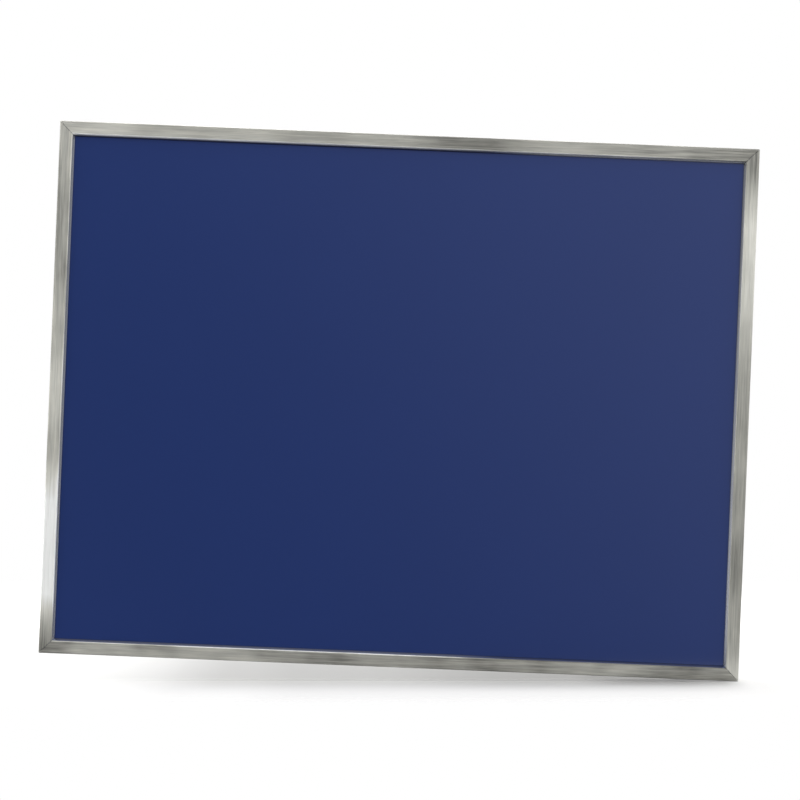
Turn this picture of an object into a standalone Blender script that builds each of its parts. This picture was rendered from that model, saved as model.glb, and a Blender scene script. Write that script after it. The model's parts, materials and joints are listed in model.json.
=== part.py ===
"""A wall-hung magnetic board: a glossy enamelled steel sheet in a brushed, mitred section frame.

X runs along the board's width, Z runs up, and its front faces -Y. The origin lies on the plane
of the wall, behind the middle of the board. Every length is in metres.
"""

import math

import bmesh
import bpy
from mathutils import Matrix, Vector

# Outline of the whole frame
BOARD_WIDTH = 0.635
BOARD_HEIGHT = 0.483

# Gap left between pieces that touch
TOUCH_GAP = 0.0003

# Rail section, across the rail from its outer edge
RAIL_WIDTH = 0.0138
BEVEL_WIDTH = 0.0026
OUTER_EDGE_RADIUS = 0.0009
ARRIS_RADIUS = 0.0007
SIGHT_EDGE_RADIUS = 0.0003
REAR_EDGE_RADIUS = 0.0004
RAIL_WALL = 0.0013
REAR_SLOT_WIDTH = 0.0054

# Rail section, from its front face backwards
BEVEL_DEPTH = 0.0036
LIP_THICKNESS = 0.0014
WEB_THICKNESS = 0.0012
REAR_LIP_THICKNESS = 0.0015

# Panel: an enamelled steel sheet, a fibre core and a galvanised sheet
FACE_SHEET_THICKNESS = 0.0006
CORE_THICKNESS = 0.0048
BACK_SHEET_THICKNESS = 0.0005
PANEL_EDGE_CLEARANCE = 0.001
PANEL_CORNER_RADIUS = 0.003

# Bowed spring clips that press the panel forward
SPRING_LENGTH = 0.06
SPRING_WIDTH = 0.009
SPRING_THICKNESS = 0.0005
SPRING_BOW = 0.0007
LONG_RAIL_SPRING_COUNT = 3
SHORT_RAIL_SPRING_COUNT = 2

# Corner hardware that slides into the rails' rear channels
CORNER_LEG_LENGTH = 0.03
CORNER_ANGLE_THICKNESS = 0.0022
BACKING_ANGLE_THICKNESS = 0.001
CHANNEL_SIDE_CLEARANCE = 0.0005
CORNER_ANGLE_RADIUS = 0.001
CORNER_SCREW_SHARE = 0.72

# Slotted set screws
SCREW_RADIUS = 0.0019
SCREW_PROUD = 0.0008
DRIVER_SLOT_WIDTH = 0.0006
DRIVER_SLOT_DEPTH = 0.0007

# Slide-in hangers with their swinging rings
HANGER_DROP = 0.09
HANGER_LENGTH = 0.028
HANGER_CORNER_RADIUS = 0.0015
KNUCKLE_WALL = 0.0009
KNUCKLE_END_MARGIN = 0.0025
SCREW_END_MARGIN = 0.006
RING_WIDTH = 0.013
RING_HEIGHT = 0.0135
RING_WIRE_RADIUS = 0.0009
RING_CORNER_RADIUS = 0.0018
RING_BACK_CLEARANCE = 0.0004

# Rubber bumpers that stand against the wall
BUMPER_RADIUS = 0.0058
BUMPER_FACE_RADIUS = 0.0046
BUMPER_EDGE_RADIUS = 0.0005
BUMPER_INSET = 0.05
WALL_CLEARANCE = 0.0006

# How far a cutter runs past what it cuts
CUT_OVERRUN = 0.001

# Straight pieces that stand for a round edge
EDGE_STEPS = 4
CORNER_STEPS = 5
ROUND_SIDES = 24
BORE_SIDES = 20
BOW_STEPS = 12
RING_BEND_STEPS = 12
RING_WIRE_RESOLUTION = 3
BEVEL_SEGMENTS = 2
SMOOTH_ANGLE = math.radians(35)

# Depths behind the front face, in the order in which the pieces lie
FACE_SHEET_FRONT = BEVEL_DEPTH + TOUCH_GAP
CORE_FRONT = FACE_SHEET_FRONT + FACE_SHEET_THICKNESS + TOUCH_GAP
BACK_SHEET_FRONT = CORE_FRONT + CORE_THICKNESS + TOUCH_GAP
PANEL_REAR = BACK_SHEET_FRONT + BACK_SHEET_THICKNESS
SPRING_FRONT = PANEL_REAR + TOUCH_GAP
WEB_FRONT = SPRING_FRONT + SPRING_BOW + SPRING_THICKNESS + TOUCH_GAP
WEB_REAR = WEB_FRONT + WEB_THICKNESS
BACKING_FRONT = WEB_REAR + TOUCH_GAP
ANGLE_FRONT = BACKING_FRONT + BACKING_ANGLE_THICKNESS + TOUCH_GAP
ANGLE_REAR = ANGLE_FRONT + CORNER_ANGLE_THICKNESS
REAR_LIP_FRONT = ANGLE_REAR + TOUCH_GAP
FRAME_DEPTH = REAR_LIP_FRONT + REAR_LIP_THICKNESS

# Places across the rail that follow from its section
CHANNEL_CENTRE = RAIL_WIDTH / 2
CHANNEL_WIDTH = RAIL_WIDTH - 2 * RAIL_WALL
CHANNEL_LEG_WIDTH = CHANNEL_WIDTH - 2 * CHANNEL_SIDE_CLEARANCE
CHANNEL_LEG_EDGE = CHANNEL_CENTRE - CHANNEL_LEG_WIDTH / 2

# The ring's axis, the knuckle round it, and how far both stand behind the rails
RING_AXIS_DEPTH = FRAME_DEPTH + RING_BACK_CLEARANCE + RING_WIRE_RADIUS
KNUCKLE_BORE_RADIUS = RING_WIRE_RADIUS + TOUCH_GAP
KNUCKLE_RADIUS = KNUCKLE_BORE_RADIUS + KNUCKLE_WALL
KNUCKLE_WIDTH = REAR_SLOT_WIDTH - 2 * TOUCH_GAP
WALL_DEPTH = RING_AXIS_DEPTH + KNUCKLE_RADIUS + WALL_CLEARANCE

# Quarter turns about Y that bring the bottom rail, or the bottom left corner, to each place
SIDE_TURNS = {"bottom": 0, "left": 1, "top": 2, "right": 3}
CORNER_TURNS = {"bottom_left": 0, "top_left": 1, "top_right": 2, "bottom_right": 3}


def depth_to_y(depth):
    """The Y of a depth behind the front face."""
    return depth - WALL_DEPTH


def clear_scene():
    for obj in list(bpy.data.objects):
        bpy.data.objects.remove(obj, do_unlink=True)


def make_material(name, color, roughness, metallic):
    material = bpy.data.materials.new(name)
    material.use_nodes = True
    shader = material.node_tree.nodes["Principled BSDF"]
    shader.inputs["Base Color"].default_value = (*color, 1)
    shader.inputs["Roughness"].default_value = roughness
    shader.inputs["Metallic"].default_value = metallic
    return material


def make_materials():
    """One material for each finish: name, linear colour, roughness and metallic."""
    return {
        "frame": make_material("brushed_frame", (0.57, 0.57, 0.53), 0.36, 1),
        "enamel": make_material("blue_enamel", (0.022, 0.037, 0.13), 0.16, 0),
        "core": make_material("fibre_core", (0.27, 0.16, 0.08), 0.85, 0),
        "back": make_material("galvanised_back", (0.5, 0.51, 0.52), 0.45, 1),
        "zinc": make_material("zinc_plated_steel", (0.62, 0.62, 0.6), 0.3, 1),
        "spring": make_material("spring_steel", (0.32, 0.33, 0.35), 0.35, 1),
        "rubber": make_material("bumper_rubber", (0.025, 0.025, 0.026), 0.75, 0),
    }


def add_object(name, data, material, location=(0, 0, 0), parent=None):
    obj = bpy.data.objects.new(name, data)
    bpy.context.collection.objects.link(obj)
    obj.location = location
    obj.parent = parent
    if not data.materials:
        data.materials.append(material)
    return obj


def add_carrier(name, location, quarter_turns=0):
    """An empty that carries the pieces of one side, corner or hanger."""
    empty = bpy.data.objects.new(name, None)
    bpy.context.collection.objects.link(empty)
    empty.location = location
    empty.rotation_euler = (0, quarter_turns * math.pi / 2, 0)
    return empty


def arc(centre, radius, start, end, steps):
    """Points on an arc, both ends included, from one angle to another."""
    angles = [start + (end - start) * i / steps for i in range(steps + 1)]
    return [Vector((centre[0] + radius * math.cos(a), centre[1] + radius * math.sin(a))) for a in angles]


def circle(radius, sides):
    return arc((0, 0), radius, 0, 2 * math.pi, sides)[:-1]


def fillet(before, corner, after, radius, steps):
    """The arc that rounds a corner between two straight edges of an outline."""
    before, corner, after = Vector(before), Vector(corner), Vector(after)
    back = (before - corner).normalized()
    ahead = (after - corner).normalized()
    half = back.angle(ahead) / 2
    reach = min(radius / math.tan(half), (before - corner).length / 2, (after - corner).length / 2)
    centre = corner + (back + ahead).normalized() * reach / math.cos(half)
    first = corner + back * reach - centre
    sweep = first.angle_signed(corner + ahead * reach - centre)
    return [centre + Matrix.Rotation(-sweep * i / steps, 2) @ first for i in range(steps + 1)]


def rounded_rectangle(width, height, radius):
    corners = [
        (-width / 2, -height / 2),
        (width / 2, -height / 2),
        (width / 2, height / 2),
        (-width / 2, height / 2),
    ]
    points = []
    for i, corner in enumerate(corners):
        points += fillet(corners[i - 1], corner, corners[(i + 1) % len(corners)], radius, CORNER_STEPS)
    return points


def finish_mesh(name, bm):
    """The bmesh as a mesh with its faces out and its round stretches shaded smooth."""
    bmesh.ops.recalc_face_normals(bm, faces=bm.faces)
    mesh = bpy.data.meshes.new(name)
    bm.to_mesh(mesh)
    bm.free()
    mesh.shade_smooth()
    mesh.set_sharp_from_angle(angle=SMOOTH_ANGLE)
    return mesh


def loft(name, first, last):
    """A closed solid between two outlines that have as many points each."""
    bm = bmesh.new()
    rings = [[bm.verts.new(point) for point in ring] for ring in (first, last)]
    count = len(first)
    for i in range(count):
        j = (i + 1) % count
        bm.faces.new((rings[0][i], rings[0][j], rings[1][j], rings[1][i]))
    bm.faces.new(rings[0])
    bm.faces.new(rings[1])
    return finish_mesh(name, bm)


def prism_along_x(name, outline, start, end):
    """A solid whose outline lies in the YZ plane."""
    return loft(name, [(start, y, z) for y, z in outline], [(end, y, z) for y, z in outline])


def prism_along_y(name, outline, start, end):
    """A solid whose outline lies in the XZ plane."""
    return loft(name, [(x, start, z) for x, z in outline], [(x, end, z) for x, z in outline])


def prism_along_z(name, outline, start, end):
    """A solid whose outline lies in the XY plane."""
    return loft(name, [(x, y, start) for x, y in outline], [(x, y, end) for x, y in outline])


def moved(mesh, offset):
    mesh.transform(Matrix.Translation(offset))
    return mesh


def combine(operation, mesh, others):
    """The mesh after a Boolean with each of the others in turn."""
    for other in others:
        base = bpy.data.objects.new("base", mesh)
        tool = bpy.data.objects.new("tool", other)
        for obj in (base, tool):
            bpy.context.collection.objects.link(obj)
        modifier = base.modifiers.new("cut", "BOOLEAN")
        modifier.operation = operation
        modifier.object = tool
        evaluated = base.evaluated_get(bpy.context.evaluated_depsgraph_get())
        mesh = bpy.data.meshes.new_from_object(evaluated)
        for obj in (base, tool):
            bpy.data.objects.remove(obj)
    mesh.shade_smooth()
    mesh.set_sharp_from_angle(angle=SMOOTH_ANGLE)
    return mesh


def rail_section():
    """The rail's outline as (distance in from the outer edge, depth behind the front face)."""
    leg = LIP_THICKNESS * math.hypot(BEVEL_WIDTH, BEVEL_DEPTH) / BEVEL_DEPTH
    slope = BEVEL_WIDTH / BEVEL_DEPTH
    slot_outer = CHANNEL_CENTRE - REAR_SLOT_WIDTH / 2
    slot_inner = CHANNEL_CENTRE + REAR_SLOT_WIDTH / 2
    inner_wall = RAIL_WIDTH - RAIL_WALL
    outer_front = (0, 0)
    arris = (RAIL_WIDTH - BEVEL_WIDTH, 0)
    sight = (RAIL_WIDTH, BEVEL_DEPTH)
    foot = (RAIL_WIDTH - leg, BEVEL_DEPTH)
    inner_rear = (RAIL_WIDTH, FRAME_DEPTH)
    outer_rear = (0, FRAME_DEPTH)
    return [
        *fillet(outer_rear, outer_front, arris, OUTER_EDGE_RADIUS, EDGE_STEPS),
        *fillet(outer_front, arris, sight, ARRIS_RADIUS, EDGE_STEPS),
        *fillet(arris, sight, foot, SIGHT_EDGE_RADIUS, EDGE_STEPS),
        foot,
        (RAIL_WIDTH - leg - slope * (BEVEL_DEPTH - LIP_THICKNESS), LIP_THICKNESS),
        (RAIL_WALL, LIP_THICKNESS),
        (RAIL_WALL, WEB_FRONT),
        (RAIL_WIDTH, WEB_FRONT),
        *fillet((RAIL_WIDTH, WEB_FRONT), inner_rear, (slot_inner, FRAME_DEPTH), REAR_EDGE_RADIUS, EDGE_STEPS),
        (slot_inner, FRAME_DEPTH),
        (slot_inner, REAR_LIP_FRONT),
        (inner_wall, REAR_LIP_FRONT),
        (inner_wall, WEB_REAR),
        (RAIL_WALL, WEB_REAR),
        (RAIL_WALL, REAR_LIP_FRONT),
        (slot_outer, REAR_LIP_FRONT),
        (slot_outer, FRAME_DEPTH),
        *fillet((slot_outer, FRAME_DEPTH), outer_rear, outer_front, REAR_EDGE_RADIUS, EDGE_STEPS),
    ]


def rail_mesh(name, length):
    """One rail along X, its outer edge at Z = 0, mitred at both ends."""
    mitre_inset = TOUCH_GAP / 2 * math.sqrt(2)
    ends = []
    for direction in (-1, 1):
        ends.append(
            [(direction * (length / 2 - mitre_inset - z), depth_to_y(d), z) for z, d in rail_section()]
        )
    return loft(name, *ends)


def add_rail(side, carrier, length, material):
    name = f"frame_rail_{side}"
    return add_object(name, rail_mesh(name, length), material, parent=carrier)


def spring_mesh():
    """A strip bowed forward in its middle, with its ends towards the web."""
    ahead = []
    for i in range(BOW_STEPS + 1):
        share = 2 * i / BOW_STEPS - 1
        ahead.append((share * SPRING_LENGTH / 2, SPRING_BOW * share**2))
    behind = [(x, y + SPRING_THICKNESS) for x, y in reversed(ahead)]
    return prism_along_z("spring_clip", ahead + behind, -SPRING_WIDTH / 2, SPRING_WIDTH / 2)


def add_springs(side, carrier, length, count, mesh, material):
    across = (RAIL_WALL + RAIL_WIDTH) / 2
    for i in range(count):
        along = length * ((i + 0.5) / count - 0.5)
        place = (along, depth_to_y(SPRING_FRONT), across)
        add_object(f"spring_clip_{side}_{i + 1}", mesh, material, place, carrier)


def add_sides(materials):
    """The four rails, each with the spring clips that lie in front of its web."""
    springs = spring_mesh()
    for side, turns in SIDE_TURNS.items():
        level = turns % 2 == 0
        length, span = (BOARD_WIDTH, BOARD_HEIGHT) if level else (BOARD_HEIGHT, BOARD_WIDTH)
        inward = Matrix.Rotation(turns * math.pi / 2, 3, "Y") @ Vector((0, 0, 1))
        carrier = add_carrier(f"{side}_side", -inward * span / 2, turns)
        count = LONG_RAIL_SPRING_COUNT if level else SHORT_RAIL_SPRING_COUNT
        add_rail(side, carrier, length, materials["frame"])
        add_springs(side, carrier, length, count, springs, materials["spring"])


def add_panel(materials):
    """The three sheets of the panel, from the front backwards."""
    margin = RAIL_WALL + PANEL_EDGE_CLEARANCE
    width = BOARD_WIDTH - 2 * margin
    height = BOARD_HEIGHT - 2 * margin
    outline = rounded_rectangle(width, height, PANEL_CORNER_RADIUS)
    for name, front, thickness, finish in (
        ("magnetic_face_sheet", FACE_SHEET_FRONT, FACE_SHEET_THICKNESS, "enamel"),
        ("core_board", CORE_FRONT, CORE_THICKNESS, "core"),
        ("back_sheet", BACK_SHEET_FRONT, BACK_SHEET_THICKNESS, "back"),
    ):
        mesh = prism_along_y(name, outline, 0, thickness)
        add_object(name, mesh, materials[finish], (0, depth_to_y(front), 0))


def screw_mesh(name, length):
    """A slotted set screw along Y, with its tip at Y = 0 and its slot at the far end."""
    shank = prism_along_y(name, circle(SCREW_RADIUS, ROUND_SIDES), 0, length)
    half_length = SCREW_RADIUS + CUT_OVERRUN
    half_width = DRIVER_SLOT_WIDTH / 2
    outline = [
        (-half_length, -half_width),
        (half_length, -half_width),
        (half_length, half_width),
        (-half_length, half_width),
    ]
    slot = prism_along_y("driver_slot", outline, length - DRIVER_SLOT_DEPTH, length + CUT_OVERRUN)
    return combine("DIFFERENCE", shank, [slot])


def screw_hole(x, z, depth):
    """A cutter for a screw's hole through a plate of that depth, which starts at Y = 0."""
    outline = circle(SCREW_RADIUS + TOUCH_GAP, BORE_SIDES)
    hole = prism_along_y("screw_hole", outline, -CUT_OVERRUN, depth + CUT_OVERRUN)
    return moved(hole, (x, 0, z))


def angle_outline():
    """An L with legs along +X and +Z, its outer corner set in from the frame's own."""
    low = CHANNEL_LEG_EDGE
    high = low + CHANNEL_LEG_WIDTH
    tip = low + CORNER_LEG_LENGTH
    corners = [(low, low), (tip, low), (tip, high), (high, high), (high, tip), (low, tip)]
    inner = corners.index((high, high))
    points = []
    for i, corner in enumerate(corners):
        if i == inner:
            points.append(corner)
            continue
        after = corners[(i + 1) % len(corners)]
        points += fillet(corners[i - 1], corner, after, CORNER_ANGLE_RADIUS, EDGE_STEPS)
    return points


def corner_screw_places():
    """(x, z) of the two screws of a corner, one on each leg."""
    along = CHANNEL_LEG_EDGE + CORNER_LEG_LENGTH * CORNER_SCREW_SHARE
    return [(along, CHANNEL_CENTRE), (CHANNEL_CENTRE, along)]


def add_corners(materials):
    """Each corner's threaded angle, the plain angle in front of it, and its two screws."""
    outline = angle_outline()
    places = corner_screw_places()
    plain = prism_along_y("backing_angle", outline, 0, BACKING_ANGLE_THICKNESS)
    threaded = prism_along_y("corner_angle", outline, 0, CORNER_ANGLE_THICKNESS)
    holes = [screw_hole(x, z, CORNER_ANGLE_THICKNESS) for x, z in places]
    threaded = combine("DIFFERENCE", threaded, holes)
    screw = screw_mesh("corner_screw", CORNER_ANGLE_THICKNESS + SCREW_PROUD)
    for corner, turns in CORNER_TURNS.items():
        outward = Matrix.Rotation(turns * math.pi / 2, 3, "Y") @ Vector((-1, 0, -1))
        location = (outward.x * BOARD_WIDTH / 2, 0, outward.z * BOARD_HEIGHT / 2)
        carrier = add_carrier(f"{corner}_corner", location, turns)
        backing_place = (0, depth_to_y(BACKING_FRONT), 0)
        angle_place = (0, depth_to_y(ANGLE_FRONT), 0)
        add_object(f"backing_angle_{corner}", plain, materials["zinc"], backing_place, carrier)
        add_object(f"corner_angle_{corner}", threaded, materials["zinc"], angle_place, carrier)
        for i, (x, z) in enumerate(places):
            screw_place = (x, depth_to_y(ANGLE_FRONT), z)
            add_object(f"corner_screw_{corner}_{i + 1}", screw, materials["zinc"], screw_place, carrier)


def hanger_plate_mesh():
    """The slide-in plate with its knuckle, in axes whose origin lies on the ring's axis."""
    front = ANGLE_FRONT - RING_AXIS_DEPTH
    rear = ANGLE_REAR - RING_AXIS_DEPTH
    middle = HANGER_LENGTH / 2 - KNUCKLE_RADIUS - KNUCKLE_END_MARGIN
    outline = rounded_rectangle(CHANNEL_LEG_WIDTH, HANGER_LENGTH, HANGER_CORNER_RADIUS)
    plate = prism_along_y("hanger_plate", outline, front, rear)
    plate = moved(plate, (0, 0, middle))
    root = (front + rear) / 2
    roll = arc((0, 0), KNUCKLE_RADIUS, -math.pi / 2, math.pi / 2, ROUND_SIDES // 2)
    side = [(root, -KNUCKLE_RADIUS), *roll, (root, KNUCKLE_RADIUS)]
    half = KNUCKLE_WIDTH / 2
    knuckle = prism_along_x("knuckle", side, -half, half)
    bore = circle(KNUCKLE_BORE_RADIUS, BORE_SIDES)
    bore = prism_along_x("knuckle_bore", bore, -half - CUT_OVERRUN, half + CUT_OVERRUN)
    hole = moved(screw_hole(0, hanger_screw_height(), rear - front), (0, front, 0))
    return combine("DIFFERENCE", combine("UNION", plate, [knuckle]), [bore, hole])


def hanger_screw_height():
    """How far the hanger's screw lies above the ring's axis."""
    return HANGER_LENGTH - KNUCKLE_RADIUS - KNUCKLE_END_MARGIN - SCREW_END_MARGIN


def ring_curve(name):
    """A D of wire hanging from its straight bar, which lies on the X axis."""
    half = RING_WIDTH / 2 - RING_WIRE_RADIUS
    bottom = half + 2 * RING_WIRE_RADIUS - RING_HEIGHT
    turn = RING_CORNER_RADIUS
    path = [
        *arc((half - turn, -turn), turn, math.pi / 2, 0, CORNER_STEPS),
        *arc((0, bottom), half, 0, -math.pi, RING_BEND_STEPS),
        *arc((turn - half, -turn), turn, math.pi, math.pi / 2, CORNER_STEPS),
    ]
    curve = bpy.data.curves.new(name, "CURVE")
    curve.dimensions = "3D"
    curve.bevel_depth = RING_WIRE_RADIUS
    curve.bevel_resolution = RING_WIRE_RESOLUTION
    spline = curve.splines.new("POLY")
    spline.points.add(len(path) - 1)
    for point, (x, z) in zip(spline.points, path):
        point.co = Vector((x, 0, z)).to_4d()
    spline.use_cyclic_u = True
    return curve


def add_hangers(materials):
    """On each side rail a hanger plate, the screw that locks it and its swinging ring."""
    plate = hanger_plate_mesh()
    screw_front = WEB_REAR + TOUCH_GAP
    screw = screw_mesh("hanger_screw", ANGLE_REAR + SCREW_PROUD - screw_front)
    height = BOARD_HEIGHT / 2 - HANGER_DROP
    for side, direction in (("left", -1), ("right", 1)):
        across = direction * (BOARD_WIDTH / 2 - CHANNEL_CENTRE)
        carrier = add_carrier(f"{side}_hanger", (across, depth_to_y(RING_AXIS_DEPTH), height))
        screw_place = (0, screw_front - RING_AXIS_DEPTH, hanger_screw_height())
        add_object(f"hanger_plate_{side}", plate, materials["zinc"], parent=carrier)
        add_object(f"hanger_screw_{side}", screw, materials["zinc"], screw_place, carrier)
        name = f"hanging_ring_{side}"
        add_object(name, ring_curve(name), materials["zinc"], parent=carrier)


def bumper_mesh():
    """A flat-topped rubber stud along Y, with its wide end at Y = 0."""
    rise = WALL_DEPTH - FRAME_DEPTH - TOUCH_GAP
    base = [(x, 0, z) for x, z in circle(BUMPER_RADIUS, ROUND_SIDES)]
    face = [(x, rise, z) for x, z in circle(BUMPER_FACE_RADIUS, ROUND_SIDES)]
    return loft("wall_bumper", base, face)


def add_bumpers(materials):
    mesh = bumper_mesh()
    across = BOARD_WIDTH / 2 - BUMPER_INSET
    up = BOARD_HEIGHT / 2 - CHANNEL_CENTRE
    for corner, turns in CORNER_TURNS.items():
        outward = Matrix.Rotation(turns * math.pi / 2, 3, "Y") @ Vector((-1, 0, -1))
        place = (outward.x * across, depth_to_y(FRAME_DEPTH + TOUCH_GAP), outward.z * up)
        bumper = add_object(f"wall_bumper_{corner}", mesh, materials["rubber"], place)
        edge = bumper.modifiers.new("rounded_rim", "BEVEL")
        edge.width = BUMPER_EDGE_RADIUS
        edge.segments = BEVEL_SEGMENTS
        edge.limit_method = "ANGLE"
        edge.angle_limit = SMOOTH_ANGLE


def main():
    clear_scene()
    materials = make_materials()
    add_sides(materials)
    add_panel(materials)
    add_corners(materials)
    add_hangers(materials)
    add_bumpers(materials)


main()
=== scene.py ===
"""The looks of a framed magnetic board: brushed mitred rails round a glossy blue enamelled sheet,
with its corner hardware, hangers and bumpers behind.

The file is laid out as a Blender add-on and is run as a script. Every length is in metres. X runs
along the board's width, Z runs up, its front faces -Y, and the wall behind it is the plane Y = 0.
"""

import json
import math
from typing import NamedTuple

import bmesh
import bpy
from bpy.props import FloatProperty, FloatVectorProperty, IntProperty, PointerProperty
from bpy.types import Operator, Panel, PropertyGroup
from mathutils import Matrix, Vector


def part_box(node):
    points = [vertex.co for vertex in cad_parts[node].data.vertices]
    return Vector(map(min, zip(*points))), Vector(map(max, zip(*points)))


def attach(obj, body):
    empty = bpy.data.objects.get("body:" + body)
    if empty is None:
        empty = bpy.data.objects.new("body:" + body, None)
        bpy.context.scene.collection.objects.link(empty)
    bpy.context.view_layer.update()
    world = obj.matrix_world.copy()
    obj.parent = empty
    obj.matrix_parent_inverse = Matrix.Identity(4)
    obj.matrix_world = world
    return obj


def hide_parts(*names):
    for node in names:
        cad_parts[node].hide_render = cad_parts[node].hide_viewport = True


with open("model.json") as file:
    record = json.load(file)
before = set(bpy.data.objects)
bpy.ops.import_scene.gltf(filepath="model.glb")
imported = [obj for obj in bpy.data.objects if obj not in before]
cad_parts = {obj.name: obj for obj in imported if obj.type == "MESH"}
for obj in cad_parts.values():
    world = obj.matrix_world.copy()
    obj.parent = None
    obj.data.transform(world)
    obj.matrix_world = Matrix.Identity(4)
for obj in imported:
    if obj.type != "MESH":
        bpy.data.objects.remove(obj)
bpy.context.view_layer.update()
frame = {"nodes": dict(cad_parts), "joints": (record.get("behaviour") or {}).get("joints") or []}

bl_info = {
    "name": "Magnetic Board",
    "version": (1, 0, 0),
    "blender": (4, 5, 0),
    "location": "View3D > Sidebar > Magnetic Board",
    "description": "Finishes and fine pieces of a framed magnetic board",
    "category": "Add Mesh",
}

# Quarter turns about Y that bring the bottom rail to each side
SIDE_TURNS = {"bottom": 0, "left": 1, "top": 2, "right": 3}
CORNERS = ("bottom_left", "top_left", "top_right", "bottom_right")
HANDS = ("left", "right")
NODES = sorted(frame["nodes"])
SPRINGS = [name for name in NODES if name.startswith("spring_clip_")]
CORNER_SCREWS = [name for name in NODES if name.startswith("corner_screw_")]
HANGER_SCREWS = [f"hanger_screw_{hand}" for hand in HANDS]
BUMPERS = [f"wall_bumper_{corner}" for corner in CORNERS]

# Sizes that the frame gives
BOARD_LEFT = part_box("frame_rail_left")[0].x
BOARD_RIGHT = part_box("frame_rail_right")[1].x
FRONT_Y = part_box("frame_rail_bottom")[0].y
RAIL_REAR_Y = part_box("frame_rail_bottom")[1].y
BOARD_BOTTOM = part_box("frame_rail_bottom")[0].z
BOARD_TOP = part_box("frame_rail_top")[1].z
BOARD_WIDTH = BOARD_RIGHT - BOARD_LEFT
BOARD_HEIGHT = BOARD_TOP - BOARD_BOTTOM
BOARD_CENTRE = Vector((BOARD_LEFT + BOARD_RIGHT, 0, BOARD_BOTTOM + BOARD_TOP)) / 2

# Bands across a rail in which painted light and shade change its tone: painted shade on the rim, a painted
# highlight on the arris, the bevel's painted light and shade, and painted light by the sight edge. Each
# gives where it starts and ends, measured from the rail's outer edge or, for those named depth, behind its
# front face. A bevel's painted tone comes in over the depth BEVEL_FADE.
RIM_SHADE_BAND = (0, 0.0008)
RIM_SHADE_DEPTH = (0.0004, 0.001)
ARRIS_HIGHLIGHT_BAND = (0.0106, 0.0109)
ARRIS_HIGHLIGHT_DEPTH = (0.0003, 0.0008)
BEVEL_BAND = (0.0111, 0.0114)
BEVEL_FADE = 0.0009
BEVEL_REAR_DEPTH = (0.004, 0.0046)
SIGHT_EDGE_LIGHT_BAND = (0.0112, 0.0142)
# The most that soft zones and painted reflections, and then all brushing together with the painted arris
# highlight, lighten the metal
LIGHTEST_ZONE = 1.73
LIGHTEST_FACE = 1.76
# Between these levels the metal loses its warmth, a painted reflection of the white room
REFLECTION_NEUTRAL_LEVELS = (1.1, 1.7)
# The bevels' painted reflection of the enamel that they mirror, where they are light and where they are
# dark
LIGHT_BEVEL_REFLECTION = (0.95, 0.98, 1.02)
DARK_BEVEL_REFLECTION = (0.8, 1.0, 1.95)
BEVEL_REFLECTION_LEVELS = (0.1, 0.6)

SMOOTH_ANGLE = math.radians(32)
FLAT_ANGLE = math.radians(0.5)
MERGE_DISTANCE = 1e-6


def extent(node):
    """The size of a CAD node along each axis."""
    low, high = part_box(node)
    return high - low


def amount(name, description, default, **options):
    return FloatProperty(name=name, description=description, default=default, min=0, **options)


def length(name, description, default):
    return amount(name, description, default, precision=5, subtype="DISTANCE", unit="LENGTH")


def colour(name, description, default):
    return FloatVectorProperty(
        name=name, description=description, default=default, size=3, min=0, max=1, subtype="COLOR"
    )


class RailSizes(PropertyGroup):
    """The section of the frame's rails, as distances from the outer edge and depths from the front."""

    rail_width: length("Rail width", "Width of a rail to its sight edge", extent("frame_rail_left").x)
    rail_depth: length("Rail depth", "From the front face to the rear", RAIL_REAR_Y - FRONT_Y)
    bevel_width: length("Bevel width", "Width of the steep bevel beside the panel", 0.0026)
    bevel_depth: length("Bevel depth", "From the front face to the sight edge", 0.0036)
    outer_edge_radius: length("Outer edge radius", "Rounding of the outer front edge", 0.0006)
    arris_radius: length("Arris radius", "Rounding between the flat face and the bevel", 0.0007)
    sight_edge_radius: length("Sight edge radius", "Rounding of the edge that meets the panel", 0.0003)
    rear_edge_radius: length("Rear edge radius", "Rounding of the two rear edges", 0.0004)
    wall: length("Wall", "Thickness of the side walls", 0.0013)
    lip_thickness: length("Lip thickness", "Thickness of the front lip", 0.0014)
    web_front: length("Web front", "Depth at which the inner web starts", 0.0122)
    web_thickness: length("Web thickness", "Thickness of the inner web", 0.0012)
    rear_lip_thickness: length("Rear lip thickness", "Thickness of the lips beside the rear slot", 0.0015)
    rear_slot_width: length("Rear slot width", "Width of the slot along the rear", 0.0054)
    seam_gap: length("Seam gap", "Gap between two mitred ends", 0.0003)
    seam_softening: length("Seam softening", "Width of the filed edge along a mitre", 0.0001)
    edge_steps: IntProperty(
        name="Edge steps", description="Straight pieces that stand for a rounded edge", default=8, min=2
    )


class HardwareSizes(PropertyGroup):
    """Screws, rings, bumpers and pressed plates."""

    thread_pitch: length("Thread pitch", "Distance between two turns of a thread", 0.0007)
    thread_depth: length("Thread depth", "Height of a screw's thread", 0.00026)
    screw_chamfer: length("Screw chamfer", "Width of the chamfer at a screw's ends", 0.0004)
    driver_slot_width: length("Driver slot width", "Width of a screw's slot", 0.0006)
    driver_slot_depth: length("Driver slot depth", "Depth of a screw's slot", 0.0007)
    ring_wire_radius: length("Ring wire radius", "Radius of the hanging rings' wire", 0.0009)
    ring_corner_radius: length("Ring corner radius", "Bend between a ring's bar and its bow", 0.0018)
    bumper_face_radius: length("Bumper face radius", "Radius of a bumper's flat face", 0.0046)
    bumper_rim_radius: length("Bumper rim radius", "Rounding of a bumper's rim", 0.0006)
    bumper_dimple_radius: length("Bumper dimple radius", "Radius of a bumper's mould mark", 0.0013)
    bumper_dimple_depth: length("Bumper dimple depth", "Depth of the mould mark", 0.00025)
    plate_softening: length("Plate softening", "Rounding of the pressed plates' edges", 0.00018)


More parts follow.
